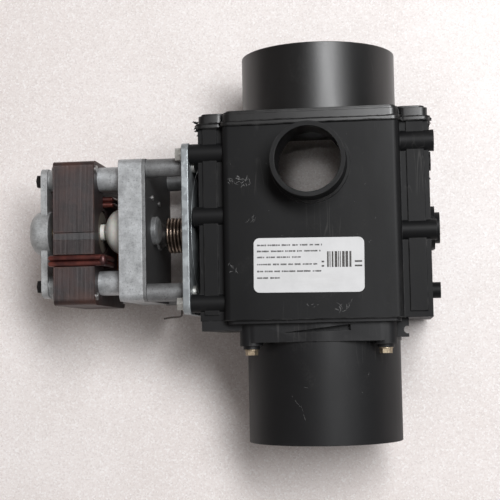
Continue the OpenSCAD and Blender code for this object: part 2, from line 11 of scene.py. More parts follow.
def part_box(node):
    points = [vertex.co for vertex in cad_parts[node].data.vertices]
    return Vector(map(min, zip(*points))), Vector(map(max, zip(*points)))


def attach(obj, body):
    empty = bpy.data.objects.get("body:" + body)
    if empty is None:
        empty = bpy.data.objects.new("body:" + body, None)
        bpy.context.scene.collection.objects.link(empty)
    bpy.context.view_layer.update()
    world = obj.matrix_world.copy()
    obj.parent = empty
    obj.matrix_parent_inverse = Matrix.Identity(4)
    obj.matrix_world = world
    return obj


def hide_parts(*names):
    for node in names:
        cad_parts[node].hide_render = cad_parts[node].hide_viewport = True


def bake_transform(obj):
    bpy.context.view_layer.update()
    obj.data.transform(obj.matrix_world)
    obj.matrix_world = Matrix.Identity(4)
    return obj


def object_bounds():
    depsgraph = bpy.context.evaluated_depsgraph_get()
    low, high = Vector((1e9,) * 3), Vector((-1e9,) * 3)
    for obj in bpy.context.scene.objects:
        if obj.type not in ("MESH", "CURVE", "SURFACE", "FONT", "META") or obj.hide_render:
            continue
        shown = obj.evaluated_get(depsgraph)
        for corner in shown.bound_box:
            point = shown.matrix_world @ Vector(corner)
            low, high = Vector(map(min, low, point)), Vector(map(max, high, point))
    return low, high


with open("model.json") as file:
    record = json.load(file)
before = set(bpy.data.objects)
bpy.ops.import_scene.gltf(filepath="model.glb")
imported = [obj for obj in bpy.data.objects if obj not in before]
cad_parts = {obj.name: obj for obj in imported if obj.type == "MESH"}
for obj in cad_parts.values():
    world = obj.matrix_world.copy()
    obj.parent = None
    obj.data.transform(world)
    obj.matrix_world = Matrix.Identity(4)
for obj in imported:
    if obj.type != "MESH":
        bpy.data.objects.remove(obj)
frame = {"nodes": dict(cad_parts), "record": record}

NODES = frame["nodes"]
SIZE_BEFORE = [[float(c) for c in v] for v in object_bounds()]
rnd = random.Random(11)

shaft_low, shaft_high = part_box("output_shaft")
STEM_Y = (shaft_low.y + shaft_high.y) / 2
STEM_X = -0.0023
FLOOR_Z = SIZE_BEFORE[0][2]
TUBE_RADIUS = 0.04445


def at(x, y, z):
    """Point given in mm from the stem axis, in row metres."""
    return Vector((x / 1000 + STEM_X, y / 1000 + STEM_Y, z / 1000))


def link_object(name, data):
    obj = bpy.data.objects.new(name, data)
    bpy.context.scene.collection.objects.link(obj)
    return obj


# ------------------------------------------------------------------ camera
CAMERA = Vector((0.0455002, 0.0549368, 0.7172591))
CAMERA_TURN = Matrix(((0.99223, 0.02837, 0.1211),
                      (-0.01903, 0.9968, -0.07764),
                      (-0.12292, 0.07474, 0.9896)))
lens = bpy.data.cameras.new("camera")
lens.sensor_width = 36
lens.lens = 88.72704
lens.clip_start = 0.02
lens.clip_end = 20
camera = link_object("camera", lens)
camera.matrix_world = Matrix.Translation(CAMERA) @ CAMERA_TURN.to_4x4()
bpy.context.scene.camera = camera


# ------------------------------------------------------------------ materials
class Mat:
    """One node material with a Principled shader and short ways to build its inputs."""

    def __init__(self, name):
        self.material = bpy.data.materials.new(name)
        self.material.use_nodes = True
        self.tree = self.material.node_tree
        self.tree.nodes.clear()
        output = self.node("ShaderNodeOutputMaterial")
        self.shader = self.node("ShaderNodeBsdfPrincipled")
        self.link(self.shader.outputs[0], output.inputs[0])
        self.place = self.node("ShaderNodeTexCoord").outputs["Object"]
        self.normal = None

    def node(self, kind, **settings):
        node = self.tree.nodes.new(kind)
        for key, value in settings.items():
            setattr(node, key, value)
        return node

    def link(self, source, target):
        self.tree.links.new(source, target)

    def put(self, socket, value):
        """Feed a socket from another socket, a colour or a number."""
        if isinstance(value, bpy.types.NodeSocket):
            self.link(value, socket)
        elif isinstance(value, tuple):
            socket.default_value = (*value, 1)
        else:
            socket.default_value = value

    def map(self, scale, rot=(0, 0, 0), loc=(0, 0, 0)):
        node = self.node("ShaderNodeMapping")
        self.link(self.place, node.inputs["Vector"])
        node.inputs["Scale"].default_value = scale
        node.inputs["Rotation"].default_value = rot
        node.inputs["Location"].default_value = loc
        return node.outputs[0]

    def noise(self, scale, detail=3, rough=0.5, vec=None, dist=0.0):
        node = self.node("ShaderNodeTexNoise")
        self.link(vec or self.place, node.inputs["Vector"])
        node.inputs["Scale"].default_value = scale
        node.inputs["Detail"].default_value = detail
        node.inputs["Roughness"].default_value = rough
        node.inputs["Distortion"].default_value = dist
        return node.outputs[0]

    def cells(self, scale, out="Distance"):
        node = self.node("ShaderNodeTexVoronoi")
        self.link(self.place, node.inputs["Vector"])
        node.inputs["Scale"].default_value = scale
        return node.outputs[out]

    def cell_tone(self, scale):
        """One random tone for each cell."""
        return self.sep("X", self.cells(scale, out="Color"))

    def ramp(self, value, stops):
        """Grey ramp through (position, level) stops."""
        node = self.node("ShaderNodeValToRGB")
        self.link(value, node.inputs[0])
        elements = node.color_ramp.elements
        while len(elements) < len(stops):
            elements.new(0.5)
        for element, (position, level) in zip(elements, stops):
            element.position = position
            element.color = (level, level, level, 1)
        return node.outputs[0]

    def rise(self, value, lo, hi, start=0.0, end=1.0):
        return self.ramp(value, [(lo, start), (hi, end)])

    def patches(self, scale, lo, hi, **kw):
        """Noise pushed apart into clear and covered patches."""
        return self.rise(self.noise(scale, **kw), lo, hi)

    def math(self, op, a, b=0.0, clamp=False):
        node = self.node("ShaderNodeMath", operation=op, use_clamp=clamp)
        self.put(node.inputs[0], a)
        self.put(node.inputs[1], b)
        return node.outputs[0]

    def mul(self, a, b):
        return self.math("MULTIPLY", a, b)

    def add(self, a, b, clamp=False):
        return self.math("ADD", a, b, clamp)

    def invert(self, a):
        return self.math("SUBTRACT", 1.0, a)

    def vary(self, a, spread, base, clamp=False):
        """base plus spread times the pattern."""
        return self.add(self.mul(a, spread), base, clamp)

    def weigh(self, a, weight_a, b, weight_b):
        return self.add(self.mul(a, weight_a), self.mul(b, weight_b))

    def mix(self, fac, a, b):
        node = self.node("ShaderNodeMix", data_type="RGBA", blend_type="MIX")
        self.put(node.inputs[0], fac)
        self.put(node.inputs[6], a)
        self.put(node.inputs[7], b)
        return node.outputs[2]

    def tint(self, col, over, mask, amount):
        """Lay the colour over on col where the mask is high."""
        return self.mix(self.mul(mask, amount), col, over)

    def sep(self, axis, vec=None):
        node = self.node("ShaderNodeSeparateXYZ")
        self.link(vec or self.place, node.inputs[0])
        return node.outputs[axis]

    def step(self, value, lo, hi):
        """0 below lo, 1 above hi."""
        node = self.node("ShaderNodeMapRange", clamp=True)
        self.link(value, node.inputs[0])
        node.inputs[1].default_value = lo
        node.inputs[2].default_value = hi
        return node.outputs[0]

    def bevel(self, radius):
        node = self.node("ShaderNodeBevel", samples=4)
        node.inputs["Radius"].default_value = radius
        return node.outputs[0]

    def edge(self, radius):
        """Soft edges: the shading normal is rounded within radius of each edge."""
        self.normal = self.bevel(radius)
        return self

    def wear(self, radius):
        """How far the rounded normal leans from the flat one: high along edges."""
        rounded = self.bevel(radius)
        geometry = self.node("ShaderNodeNewGeometry")
        dot = self.node("ShaderNodeVectorMath", operation="DOT_PRODUCT")
        self.link(rounded, dot.inputs[0])
        self.link(geometry.outputs["Normal"], dot.inputs[1])
        return self.step(self.invert(dot.outputs["Value"]), 0.02, 0.2)

    def bump(self, height, strength, dist):
        node = self.node("ShaderNodeBump")
        node.inputs["Strength"].default_value = strength
        node.inputs["Distance"].default_value = dist
        self.link(height, node.inputs["Height"])
        if self.normal is not None:
            self.link(self.normal, node.inputs["Normal"])
        self.normal = node.outputs[0]

    def done(self, col, rough, metal=0.0, spec=0.5, **more):
        inputs = self.shader.inputs
        self.put(inputs["Base Color"], col)
        self.put(inputs["Roughness"], rough)
        self.put(inputs["Metallic"], metal)
        self.put(inputs["Specular IOR Level"], spec)
        for key, value in more.items():
            self.put(inputs[key], value)
        if self.normal is not None:
            self.link(self.normal, inputs["Normal"])
        return self.material


def shade(colour, factor):
    return tuple(c * factor for c in colour)


def black_plastic(name, base, rough, scratch, grain, spec, edge=0.0006):
    m = Mat(name).edge(edge)
    cloud = m.noise(scale=22, detail=4, rough=0.6)
    fine = m.noise(scale=900, rough=0.6)
    flow = m.noise(scale=60, vec=m.map(scale=(1, 0.18, 1)))
    col = m.mix(m.rise(cloud, lo=0.3, hi=0.75), shade(base, 0.8), shade(base, 1.25))
    # dusty veil, stronger in patches
    dust = m.mul(m.patches(scale=35, detail=5, rough=0.65, dist=0.6, lo=0.55, hi=0.8),
                 m.rise(fine, lo=0.4, hi=0.7))
    col = m.tint(col, (0.11, 0.105, 0.10), dust, amount=0.35 * scratch)
    # fine scratches in three directions: turn, offset, scale
    lines = None
    for turn, offset, scale in ((0.4, 0.0, 90), (-0.9, 3.1, 120), (1.35, 7.7, 70)):
        stretched = m.map(scale=(1, 0.09, 1), rot=(0, 0, turn), loc=(offset, offset, 0))
        streak = m.noise(scale, detail=2, rough=0.4, vec=stretched)
        band = m.ramp(streak, [(0.494, 0.0), (0.5, 1.0), (0.506, 0.0)])
        lines = band if lines is None else m.math("MAXIMUM", lines, band)
    patch = m.patches(scale=26, rough=0.6, lo=0.56, hi=0.7)
    col = m.tint(col, (0.16, 0.155, 0.15), m.mul(lines, patch), amount=0.42 * scratch)
    worn = m.mul(m.wear(0.0011), m.patches(scale=140, detail=4, rough=0.6, lo=0.42, hi=0.68))
    col = m.tint(col, (0.15, 0.148, 0.145), worn, amount=0.30)
    gloss = m.vary(m.rise(flow, lo=0.3, hi=0.7), spread=0.10, base=rough - 0.05)
    gloss = m.add(gloss, m.mul(dust, 0.15), clamp=True)
    m.bump(m.weigh(fine, 0.6, m.noise(scale=180, detail=2), 0.6), strength=grain, dist=0.00012)
    return m.done(col, gloss, metal=0.0, spec=spec)


def metal(name, base, rough, metallic, mottle, scale, pits, edge, dirt, bump,
          dirt_col=(0.05, 0.045, 0.04)):
    m = Mat(name).edge(edge)
    grain = m.noise(scale, detail=5, rough=0.65)
    fine = m.noise(scale * 5, rough=0.6)
    big = m.noise(scale=28, detail=4, rough=0.6)
    col = m.mix(m.rise(grain, lo=0.3, hi=0.7), shade(base, 1 - mottle), shade(base, 1 + mottle))
    col = m.tint(col, shade(base, 0.35), m.rise(fine, lo=0.58, hi=0.72), amount=pits)
    col = m.tint(col, dirt_col, m.rise(big, lo=0.48, hi=0.78), amount=dirt)
    worn = m.mul(m.wear(0.0008), m.patches(scale=320, lo=0.35, hi=0.6))
    col = m.tint(col, tuple(c * 1.5 + 0.06 for c in base), worn, amount=0.45)
    gloss = m.vary(grain, spread=0.25, base=rough - 0.12, clamp=True)
    m.bump(m.weigh(grain, 0.5, fine, 0.7), strength=bump, dist=0.00015)
    return m.done(col, gloss, metallic)


def cast_metal(name, base, shaded_face_x=None):
    """Pitted casting. If a face x is given, the face that points to +X at that x gets painted shade: near
    black and less metallic, standing for the shadow of the plate and body on it.
    """
    m = Mat(name).edge(0.0005)
    grain = m.noise(scale=170, detail=6, rough=0.7)
    fine = m.noise(scale=1000, rough=0.7)
    pits = m.cells(scale=520)
    big = m.noise(scale=30, detail=4, rough=0.6)
    col = m.mix(m.rise(grain, lo=0.32, hi=0.68), shade(base, 0.72), shade(base, 1.22))
    col = m.tint(col, shade(base, 0.40), m.rise(fine, lo=0.52, hi=0.68), amount=0.45)
    pit_mask = m.rise(pits, lo=0.06, hi=0.26, start=1.0, end=0.0)
    col = m.tint(col, shade(base, 0.28), pit_mask, amount=0.5)
    col = m.tint(col, (0.16, 0.16, 0.155), m.rise(big, lo=0.5, hi=0.75), amount=0.22)
    worn = m.mul(m.wear(0.0010), m.patches(scale=260, lo=0.35, hi=0.62))
    col = m.tint(col, (0.72, 0.73, 0.73), worn, amount=0.55)
    metallic = 0.55
    # painted shade: the cover's +X face lies in shadow between the plate and the body, so it is coloured near
    # black here
    if shaded_face_x is not None:
        beyond = m.step(m.sep("X"), shaded_face_x, shaded_face_x + 0.0004)
        reached = m.step(m.sep("X"), shaded_face_x - 0.0003, shaded_face_x)
        face = m.mul(reached, m.invert(beyond))
        painted_shade_col = m.mix(grain, (0.016, 0.016, 0.017), (0.034, 0.033, 0.033))
        col = m.tint(col, painted_shade_col, face, amount=0.94)
        metallic = m.math("SUBTRACT", metallic, m.mul(face, 0.4))
    m.bump(m.weigh(fine, 0.55, grain, 0.45), strength=0.45, dist=0.0002)
    return m.done(col, m.vary(grain, spread=0.22, base=0.42, clamp=True), metallic)


def zinc_sheet():
    m = Mat("zinc_plated_sheet").edge(0.0005)
    tone = m.cell_tone(scale=240)
    grain = m.noise(scale=420, detail=5, rough=0.7)
    col = m.mix(tone, (0.29, 0.315, 0.33), (0.45, 0.485, 0.50))
    col = m.mix(m.rise(grain, lo=0.35, hi=0.75, end=0.7), col, (0.27, 0.29, 0.3))
    col = m.tint(col, (0.7, 0.74, 0.75), m.wear(0.0008), amount=0.5)
    m.bump(grain, strength=0.25, dist=0.00015)
    return m.done(col, m.vary(tone, spread=0.18, base=0.38), metal=0.75)


def nylon(name, base, rough=0.42, sss=0.12, dirt=0.2, dirt_col=(0.35, 0.27, 0.17)):
    m = Mat(name).edge(0.0005)
    cloud = m.noise(scale=90, detail=4, rough=0.6)
    fine = m.noise(scale=1100, detail=2)
    col = m.mix(m.rise(cloud, lo=0.35, hi=0.7), base, shade(base, 0.9))
    stain = m.patches(scale=45, detail=5, rough=0.7, lo=0.5, hi=0.8)
    col = m.tint(col, dirt_col, stain, amount=dirt)
    m.bump(fine, strength=0.12, dist=0.0001)
    return m.done(col, m.vary(cloud, spread=0.15, base=rough - 0.07),
                  **{"Subsurface Weight": sss, "Subsurface Scale": 0.002})


def rubber():
    m = Mat("seal_rubber")
    grain = m.noise(scale=300, detail=4, rough=0.6)
    m.bump(m.noise(scale=1500, detail=2), strength=0.3, dist=0.0001)
    return m.done(m.mix(grain, (0.012, 0.012, 0.012), (0.03, 0.029, 0.028)),
                  m.vary(grain, spread=0.2, base=0.6))


def lamination():
    """Stacked, lacquered iron sheets with rust bloom; sheets lie across X."""
    m = Mat("lamination_lacquer")
    cloud = m.noise(scale=34, detail=5, rough=0.65)
    blotch = m.noise(scale=120, detail=5, rough=0.7)
    fine = m.noise(scale=900, rough=0.6)
    sheet = m.noise(scale=1, detail=2, rough=0.6, vec=m.map(scale=(1400, 30, 30)))
    col = m.mix(m.rise(blotch, lo=0.3, hi=0.7), (0.009, 0.0072, 0.0080), (0.046, 0.035, 0.036))
    col = m.tint(col, (0.050, 0.020, 0.017), m.rise(cloud, lo=0.47, hi=0.66), amount=0.5)
    grey = m.patches(scale=52, detail=5, rough=0.7, dist=0.8, lo=0.56, hi=0.7)
    col = m.tint(col, (0.038, 0.041, 0.050), grey, amount=0.35)
    col = m.tint(col, (0.022, 0.017, 0.017), m.rise(sheet, lo=0.35, hi=0.75), amount=0.45)
    col = m.tint(col, (0.10, 0.08, 0.075), m.rise(fine, lo=0.6, hi=0.72), amount=0.3)
    # grey band along the joint of the two halves
    from_stem = m.math("SUBTRACT", m.sep("Y"), STEM_Y)
    band = m.mul(m.step(from_stem, -0.0044, -0.0041),
                 m.invert(m.step(from_stem, -0.0002, 0.0001)))
    band_col = m.mix(blotch, (0.035, 0.035, 0.037), (0.085, 0.083, 0.085))
    col = m.tint(col, band_col, band, amount=0.75)
    # rust bloom towards the two outer corners
    far = m.step(m.math("ABSOLUTE", from_stem), 0.030, 0.0405)
    bloom = m.mul(m.patches(scale=75, detail=5, rough=0.7, lo=0.40, hi=0.62), 0.6)
    col = m.mix(m.mul(far, bloom), col, (0.075, 0.028, 0.018))
    # bright rust along the edges
    worn = m.mul(m.wear(0.0014), m.rise(blotch, lo=0.42, hi=0.62))
    col = m.tint(col, (0.12, 0.045, 0.026), worn, amount=0.55)
    m.bump(m.weigh(sheet, 0.7, fine, 0.3), strength=0.5, dist=0.0002)
    return m.done(col, m.vary(blotch, spread=0.3, base=0.34), metal=0.25)


def copper(name, dark, bright, rough, coat):
    m = Mat(name)
    cloud = m.noise(scale=110, detail=4, rough=0.6)
    m.bump(m.noise(scale=500), strength=0.2, dist=0.0001)
    return m.done(m.mix(m.rise(cloud, lo=0.35, hi=0.65), dark, bright),
                  m.vary(cloud, spread=0.2, base=rough), metal=0.55,
                  **{"Coat Weight": coat, "Coat Roughness": 0.25})


def paper():
    m = Mat("label_paper").edge(0.0002)
    cloud = m.noise(scale=60, detail=5, rough=0.7)
    streak = m.noise(scale=90, detail=4, rough=0.6, vec=m.map(scale=(0.15, 1, 1)))
    col = m.mix(m.rise(cloud, lo=0.4, hi=0.8), (0.64, 0.645, 0.65), (0.56, 0.565, 0.57))
    col = m.tint(col, (0.45, 0.44, 0.43), m.rise(streak, lo=0.6, hi=0.75), amount=0.25)
    m.bump(m.noise(scale=800), strength=0.08, dist=0.0001)
    return m.done(col, m.vary(cloud, spread=0.15, base=0.33))


def speckle(name, dark, light, scale=1600, lo=0.42, rough=0.4):
    """Broken-up tone for printing ink and scuffs."""
    m = Mat(name)
    grain = m.noise(scale, rough=0.7)
    return m.done(m.mix(m.rise(grain, lo=lo, hi=0.62), dark, light),
                  m.vary(grain, spread=0.2, base=rough))


M = {
    "body": black_plastic("black_moulded_body", (0.0062, 0.0064, 0.0069),
                          rough=0.52, scratch=0.62, grain=0.35, spec=0.20),
    "cap": black_plastic("black_moulded_cap", (0.0020, 0.0021, 0.0024),
                         rough=0.39, scratch=0.5, grain=0.18, spec=0.66),
    "adapter": black_plastic("black_moulded_adapter", (0.0058, 0.0060, 0.0068),
                             rough=0.54, scratch=0.5, grain=0.3, spec=0.30),
    "flash": black_plastic("weld_flash", (0.003, 0.003, 0.0033),
                           rough=0.38, scratch=0.3, grain=0.5, spec=0.3, edge=0.0002),
    "cast": cast_metal("cast_zinc", (0.44, 0.455, 0.465)),
    # the cover's zinc is coloured darker than the case's: partly its own darker tone, partly painted shade
    # for the shaded undersides of its posts
    "cover": cast_metal("cast_zinc_cover", (0.20, 0.205, 0.208),
                        shaded_face_x=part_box("gear_case")[1].x + 0.0021 - 0.00003),
    "bracket": cast_metal("cast_zinc_bright", (0.48, 0.495, 0.50)),
    "galv": zinc_sheet(),
}
# key, name, base colour,
#     rough, metallic, mottle, grain scale, pits, edge radius, dirt, bump[, dirt colour]
METALS = [
    ("bolt", "plated_bolt", (0.58, 0.58, 0.55),
     0.42, 0.8, 0.25, 500, 0.3, 0.0003, 0.25, 0.25),
    ("steel", "ground_steel", (0.6, 0.6, 0.6),
     0.3, 1.0, 0.12, 700, 0.1, 0.0002, 0.12, 0.1),
    ("spring", "oiled_spring_wire", (0.30, 0.235, 0.19),
     0.30, 1.0, 0.3, 420, 0.25, 0.0001, 0.35, 0.1, (0.08, 0.05, 0.035)),
    ("wire", "dark_wire", (0.06, 0.05, 0.045),
     0.45, 0.7, 0.3, 420, 0.2, 0.0001, 0.2, 0.1),
    ("brass_hex", "plated_hex_head", (0.38, 0.315, 0.225),
     0.46, 0.85, 0.3, 520, 0.3, 0.0003, 0.45, 0.25, (0.16, 0.10, 0.06)),
    ("sinter", "sintered_brass", (0.62, 0.46, 0.24),
     0.48, 0.9, 0.2, 900, 0.35, 0.0003, 0.2, 0.25),
    # painted shade: the spring hub and output bushing are coloured near black for the shade between the
    # output boss and the spring
    ("hub", "oily_hub_steel", (0.055, 0.052, 0.05),
     0.42, 0.8, 0.3, 420, 0.25, 0.0003, 0.3, 0.15),
    ("rotor", "rotor_end_ring", (0.17, 0.15, 0.125),
     0.50, 0.5, 0.2, 420, 0.3, 0.0003, 0.3, 0.25),
    ("blackox", "black_oxide_screw", (0.022, 0.021, 0.021),
     0.36, 0.6, 0.3, 600, 0.3, 0.0003, 0.1, 0.2),
]
for key, *row in METALS:
    M[key] = metal(*row)
M.update({
    "nylon": nylon("white_nylon", (0.72, 0.71, 0.66)),
    "segment": nylon("segment_plastic", (0.60, 0.58, 0.52), rough=0.38, sss=0.06),
    "bushing": nylon("bushing_plastic", (0.60, 0.56, 0.45), rough=0.4, sss=0.06),
    "bobbin": nylon("bobbin_nylon", (0.62, 0.53, 0.36), rough=0.45, sss=0.08,
                    dirt=0.5, dirt_col=(0.22, 0.13, 0.07)),
    "rubber": rubber(),
    "lam": lamination(),
    "shading": copper("lacquered_copper", (0.055, 0.012, 0.011), (0.17, 0.042, 0.030),
                      rough=0.28, coat=0.5),
    "crimp": copper("burnt_copper_crimp", (0.035, 0.012, 0.013), (0.085, 0.024, 0.022),
                    rough=0.34, coat=0.3),
    "winding": copper("enamelled_winding", (0.30, 0.085, 0.03), (0.52, 0.19, 0.07),
                      rough=0.3, coat=0.6),
    "paper": paper(),
    "ink": speckle("label_ink", (0.03, 0.03, 0.03), (0.24, 0.24, 0.24)),
    "ink_dark": speckle("label_ink_dark", (0.018, 0.016, 0.016), (0.09, 0.085, 0.08)),
    "scuff": speckle("scuff_marks", (0.02, 0.02, 0.021), (0.20, 0.20, 0.20),
                     scale=1400, lo=0.38, rough=0.55),
})


# ------------------------------------------------------------------ mesh helpers
def new_obj(name, mesh, mat, body="valve_frame", slot=None, smooth=True):
    obj = link_object(name, mesh)
    mesh.materials.clear()
    mesh.materials.append(mat)
    for face in mesh.polygons:
        face.use_smooth = smooth
    if body:
        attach(obj, body)
    return obj


def from_lists(name, verts, faces, mat, **kw):
    mesh = bpy.data.meshes.new(name)
    mesh.from_pydata([tuple(v) for v in verts], [], faces)
    mesh.update()
    return new_obj(name, mesh, mat, **kw)


def tube(name, pts, radius, mat, sides, closed=False, **kw):
    """Tube along pts. radius is a number or one per point."""
    n = len(pts)
    radii = radius if isinstance(radius, list) else [radius] * n
    tangents = []
    for i in range(n):
        before = pts[(i - 1) % n] if closed or i > 0 else pts[i]
        after = pts[(i + 1) % n] if closed or i < n - 1 else pts[i]
        tangents.append((after - before).normalized())
    up = Vector((0, 0, 1)) if abs(tangents[0].z) < 0.9 else Vector((1, 0, 0))
    side = (up - tangents[0] * up.dot(tangents[0])).normalized()
    verts, faces = [], []
    for point, tangent, rad in zip(pts, tangents, radii):
        side = (side - tangent * side.dot(tangent)).normalized()
        across = tangent.cross(side)
        for k in range(sides):
            t = 2 * math.pi * k / sides
            verts.append(point + (side * math.cos(t) + across * math.sin(t)) * rad)
    for i in range(n if closed else n - 1):
        j = (i + 1) % n
        for k in range(sides):
            k2 = (k + 1) % sides
            faces.append((i * sides + k, i * sides + k2, j * sides + k2, j * sides + k))
    if not closed:
        faces.append(tuple(reversed(range(sides))))
        faces.append(tuple((n - 1) * sides + k for k in range(sides)))
    return from_lists(name, verts, faces, mat, **kw)


def smooth_path(control, per=8):
    """Catmull-Rom path through control points."""
    c = [Vector(p) for p in control]
    c = [c[0] * 2 - c[1]] + c + [c[-1] * 2 - c[-2]]
    out = []
    for i in range(1, len(c) - 2):
        p0, p1, p2, p3 = c[i - 1:i + 3]
        for k in range(per):
            t = k / per
            out.append(0.5 * ((2 * p1) + (p2 - p0) * t + (2 * p0 - 5 * p1 + 4 * p2 - p3) * t * t
                              + (3 * p1 - p0 - 3 * p2 + p3) * t ** 3))
    out.append(c[-2])
    return out


def body_name(node):
    bodies = frame["record"]["behaviour"]["bodies"]
    return next(body for body, nodes in bodies.items() if node in nodes)


SLOT = {part["node"]: part["material_slot"] for part in frame["record"]["subparts"]}
EDGE_ANGLE = math.radians(32)


def merged_copy(node, name):
    """Mesh copy of a CAD node, and a bmesh of it with its flat faces merged."""
    mesh = NODES[node].data.copy()
    mesh.name = name
    bm = bmesh.new()
    bm.from_mesh(mesh)
    bmesh.ops.remove_doubles(bm, verts=bm.verts, dist=2e-6)
    bmesh.ops.dissolve_limit(bm, angle_limit=math.radians(0.5), verts=bm.verts, edges=bm.edges)
    return mesh, bm


def refined(node, mat, width):
    """Smooth-shaded stand-in for a CAD node; its edges are rounded over if width is set."""
    mesh, bm = merged_copy(node, node + "_fine")
    bm.normal_update()
    for e in bm.edges:
        if len(e.link_faces) == 2:
            e.smooth = e.calc_face_angle(0) < EDGE_ANGLE
    bm.to_mesh(mesh)
    bm.free()
    obj = new_obj(mesh.name, mesh, mat, body=body_name(node), slot=SLOT[node])
    if width:
        bevel = obj.modifiers.new("edges", "BEVEL")
        bevel.width = width
        bevel.segments = 2
        bevel.limit_method = "ANGLE"
        bevel.angle_limit = EDGE_ANGLE
        bevel.use_clamp_overlap = False
    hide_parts(node)


# ------------------------------------------------------------------ CAD nodes, refined or re-dressed
REFINED = {
    "valve_body": "body", "outlet_cap": "cap", "inlet_adapter": "adapter", "gear_case": "cast",
    "gear_cover": "cover", "mounting_plate": "galv", "backing_disc": "galv",
    "bearing_bracket": "bracket", "plate_bolts": "bolt", "adapter_screws": "brass_hex",
    "cover_screws": "bolt", "motor_screws": "blackox", "nylon_bearing_cap": "nylon",
    "shaft_collar": "nylon", "coil_bobbin": "bobbin", "label_plate": "paper",
    "rotor_core": "rotor", "stack_rivets": "steel", "ball_segment": "segment",
    "shading_rings": "shading", "spring_hub": "hub", "rear_bush": "sinter",
}
BEVEL_WIDTH = {"mounting_plate": 0.0003, "coil_bobbin": 0.0004, "label_plate": 0.00008}
REDRESSED = {
    "adapter_seal": "rubber", "stem_seal": "rubber", "valve_seat": "rubber",
    "trunnion_pin": "steel", "stem_bushing": "bushing", "idler_axle_a": "steel",
    "idler_axle_b": "steel", "idler_gear_a": "nylon", "idler_gear_b": "nylon",
    "output_gear": "sinter", "output_shaft": "steel", "output_bushing": "hub",
    "coil_winding": "winding", "rotor_shaft": "steel", "motor_pinion": "nylon",
}
for node, mat in REFINED.items():
    refined(node, M[mat], BEVEL_WIDTH.get(node, 0.0))
for node, mat in REDRESSED.items():
    mesh = NODES[node].data
    mesh.materials.clear()
    mesh.materials.append(M[mat])
    for face in mesh.polygons:
        face.use_smooth = False


# ------------------------------------------------------------------ lamination stack with its sheets
def lamination_sheets(sheets=32):
    """Cut the stack across X into sheets and sink a shallow groove at each joint."""
    mesh, bm = merged_copy("lamination_stack", "lamination_sheets")
    x0, x1 = (corner.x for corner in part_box("lamination_stack"))
    grooves = []
    for i in range(1, 2 * sheets):
        x = x0 + (x1 - x0) * i / (2 * sheets)
        cut = bmesh.ops.bisect_plane(bm, geom=bm.verts[:] + bm.edges[:] + bm.faces[:],
                                     dist=1e-7, plane_co=(x, 0, 0), plane_no=(1, 0, 0))
        if i % 2 == 0:
            grooves += [v for v in cut["geom_cut"] if isinstance(v, bmesh.types.BMVert)]
    bm.normal_update()
    for v, normal in [(v, v.normal.copy()) for v in grooves if v.is_valid]:
        normal.x = 0
        rough = noise.noise(Vector((v.co.x * 900, v.co.y * 30, v.co.z * 30)))
        if normal.length > 0.01:
            v.co -= normal.normalized() * (0.00010 + 0.00005 * rough)
    bm.normal_update()
    bm.to_mesh(mesh)
    bm.free()
    stack = new_obj("lamination_sheets", mesh, M["lam"],
                    slot=SLOT["lamination_stack"], smooth=False)
    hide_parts("lamination_stack")


lamination_sheets()

# ------------------------------------------------------------------ weld flash
BEAD_SPACING = 0.0012
BEAD_FLOOR = -49.98  # mm, the lowest a bead may reach
# x, z in mm around the lid edge, open at the bottom
LIP = [(-28, -49.5), (-46, -49.5), (-49.9, -46), (-50, -43.8), (-62, -43.8), (-64.1, -41.5),
       (-64.1, 41.5), (-62, 43.8), (-50, 43.8), (-49.9, 46), (-46, 49.9), (46, 49.9),
       (49.9, 46), (50, 43.8), (63, 43.8), (65.6, 41.5), (65.6, -41.5), (63, -43.8),
       (50, -43.8), (49.9, -46), (46, -49.5), (28, -49.5)]
# x, z in mm around the adapter flange
FLANGE = [(-48.4, 49.4), (48.4, 49.4), (49.4, 48.4), (49.4, -48.4),
          (48.4, -49.4), (-48.4, -49.4), (-49.4, -48.4), (-49.4, 48.4)]


def perimeter(corners, closed):
    out = []
    for i, a in enumerate(corners if closed else corners[:-1]):
        b = corners[(i + 1) % len(corners)]
        n = max(1, int((Vector(b) - Vector(a)).length / 1000 / BEAD_SPACING))
        for k in range(n):
            out.append((a[0] + (b[0] - a[0]) * k / n, a[1] + (b[1] - a[1]) * k / n))
    return out


def bead(name, corners, y, radius, wander, seed, closed):
    """Uneven bead of plastic at height y; radius and wander are in mm."""
    pts, radii = [], []
    for x, z in perimeter(corners, closed):
        slow = noise.noise(Vector((x * 0.11 + seed, z * 0.11, 0.3)))
        quick = noise.noise(Vector((x * 0.9 + seed, z * 0.9, 5.1)))
        k = radius * (1 + 0.55 * quick + 0.4 * slow)
        pts.append(at(x, y + wander * (slow * 1.4 + quick * 0.5), max(z, k + BEAD_FLOOR)))
        radii.append(k / 1000)
    tube(name, pts, radii, M["flash"], 8, closed, slot="housing_plastic")


bead("cap_weld_flash", LIP, y=57.9, radius=0.42, wander=0.30, seed=1.7, closed=False)
bead("cap_weld_flash_low", LIP, y=55.8, radius=0.36, wander=0.26, seed=8.3, closed=False)
bead("adapter_flange_flash", FLANGE, y=-52.1, radius=0.14, wander=0.10, seed=4.4, closed=True)

